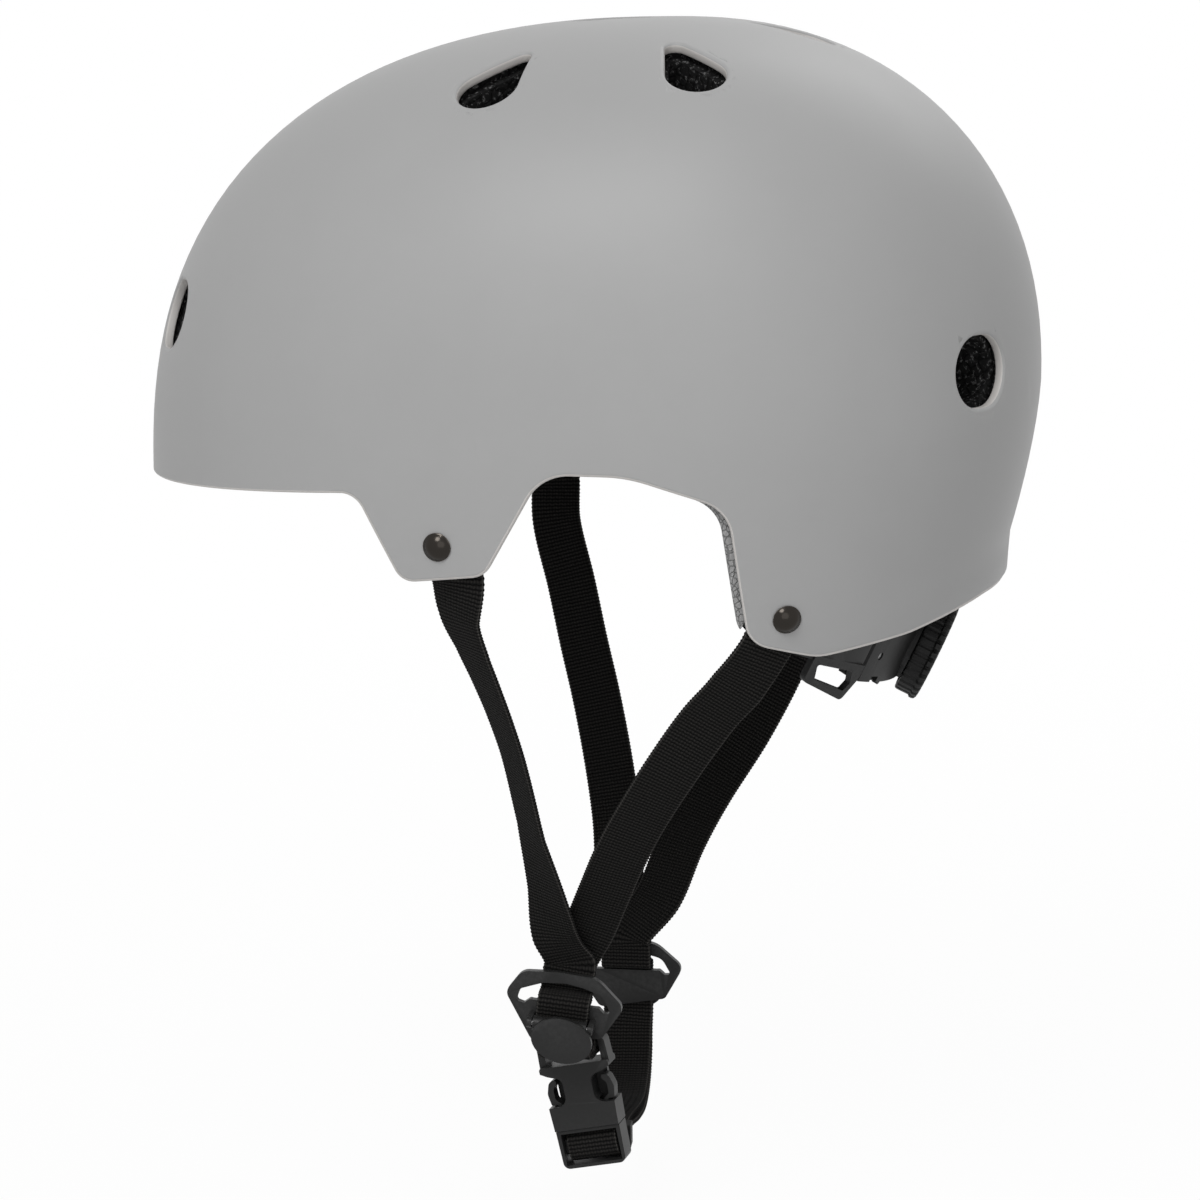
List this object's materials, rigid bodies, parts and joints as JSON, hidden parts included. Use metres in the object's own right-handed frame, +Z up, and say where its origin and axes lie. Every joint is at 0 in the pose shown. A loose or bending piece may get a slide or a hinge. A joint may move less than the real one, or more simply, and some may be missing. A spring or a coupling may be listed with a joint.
{
  "type": "skate helmet",
  "caption": "Hard shell skate helmet with a vented dome, foam liner, strap tabs round the ear, a side release chin buckle and a dial-drawn fit cradle at the nape.",
  "frame": {"origin": "middle of the head opening at brim height", "axes": "+Z up, -Y towards the front of the helmet, +X towards the wearer's left"},
  "size_m": [0.214, 0.2656, 0.3417],
  "materials": {
    "shell": "matte",
    "foam": "beaded foam",
    "pad": "brushed knit",
    "hook": "hook tape",
    "webbing": "ribbed",
    "plastic": "satin",
    "dial": "satin",
    "keeper": "matte",
    "gunmetal": "polished dark",
    "steel": "bright"
  },
  "bodies": {
    "helmet": {"outer_shell": "shell", "foam_liner": "foam", "crown_pad": "pad", "brow_pad": "pad", "left_side_pad": "pad", "right_side_pad": "pad", "rear_pad": "pad", "hook_dots": "hook", "rivet_caps": "gunmetal", "rivet_washers": "gunmetal", "left_front_strap": "webbing", "left_rear_strap": "webbing", "left_buckle_loop": "webbing", "left_divider": "plastic", "left_cam_pin": "steel", "right_front_strap": "webbing", "right_rear_strap": "webbing", "chin_strap": "webbing", "right_divider": "plastic", "right_cam_pin": "steel", "buckle_female": "plastic", "cradle_base": "plastic", "cradle_cover": "plastic", "cradle_screws": "steel", "left_cradle_arm": "plastic", "right_cradle_arm": "plastic", "left_anchor_pin": "plastic", "right_anchor_pin": "plastic", "nape_pad": "pad", "detent_spring": "steel"},
    "left_lever": {"left_cam_lever": "plastic"},
    "right_lever": {"right_cam_lever": "plastic"},
    "male_half": {"buckle_male": "plastic", "strap_keeper": "keeper"},
    "front_prong": {"buckle_front_prong": "plastic"},
    "rear_prong": {"buckle_rear_prong": "plastic"},
    "dial": {"dial_wheel": "dial", "dial_pinion": "steel", "dial_screw": "steel", "dial_cap": "dial"},
    "left_rack": {"left_band": "plastic"},
    "right_rack": {"right_band": "plastic"}
  },
  "joints": [
    {"name": "left_lever_lift", "type": "hinge", "parent": "helmet", "child": "left_lever", "pos_m": [0.04925, -0.00469, -0.1576], "axis": [0, -0.9945, 0.1045], "range_deg": [0, 65]},
    {"name": "right_lever_lift", "type": "hinge", "parent": "helmet", "child": "right_lever", "pos_m": [-0.04925, 0.0042, -0.1703], "axis": [0, 1, 0], "range_deg": [0, 65]},
    {"name": "buckle_slide", "type": "slide", "parent": "helmet", "child": "male_half", "axis": [0.0301, 0.2143, -0.9763], "range_m": [0, 0.02], "deforming": ["chin_strap", "buckle_front_prong", "buckle_rear_prong"]},
    {"name": "front_prong_flex", "type": "hinge", "parent": "male_half", "child": "front_prong", "pos_m": [0.037, -0.00446, -0.19155], "axis": [-0.9903, 0.1392, 0], "range_deg": [0, 8], "stiffness_Nm_per_rad": 0.04},
    {"name": "rear_prong_flex", "type": "hinge", "parent": "male_half", "child": "rear_prong", "pos_m": [0.03901, 0.00985, -0.18835], "axis": [0.9903, -0.1392, 0], "range_deg": [0, 8], "stiffness_Nm_per_rad": 0.04},
    {"name": "dial_turn", "type": "hinge", "parent": "helmet", "child": "dial", "pos_m": [0, 0.022, -0.0135], "axis": [0, 0.9063, -0.4226], "range_deg": [-120, 120]},
    {"name": "left_rack_draw", "type": "hinge", "parent": "helmet", "child": "left_rack", "pos_m": [0, 0.022, -0.0135], "axis": [0, 0.4226, 0.9063], "range_deg": [-6.9, 6.9]},
    {"name": "right_rack_draw", "type": "hinge", "parent": "helmet", "child": "right_rack", "pos_m": [0, 0.022, -0.0135], "axis": [0, 0.4226, 0.9063], "range_deg": [-6.9, 6.9]}
  ],
  "couplings": [
    {"joint": "left_rack_draw", "follows": "dial_turn", "ratio": -0.057107},
    {"joint": "right_rack_draw", "follows": "dial_turn", "ratio": 0.057107},
    {"joint": "front_prong_flex", "follows": "rear_prong_flex", "ratio": 1}
  ]
}
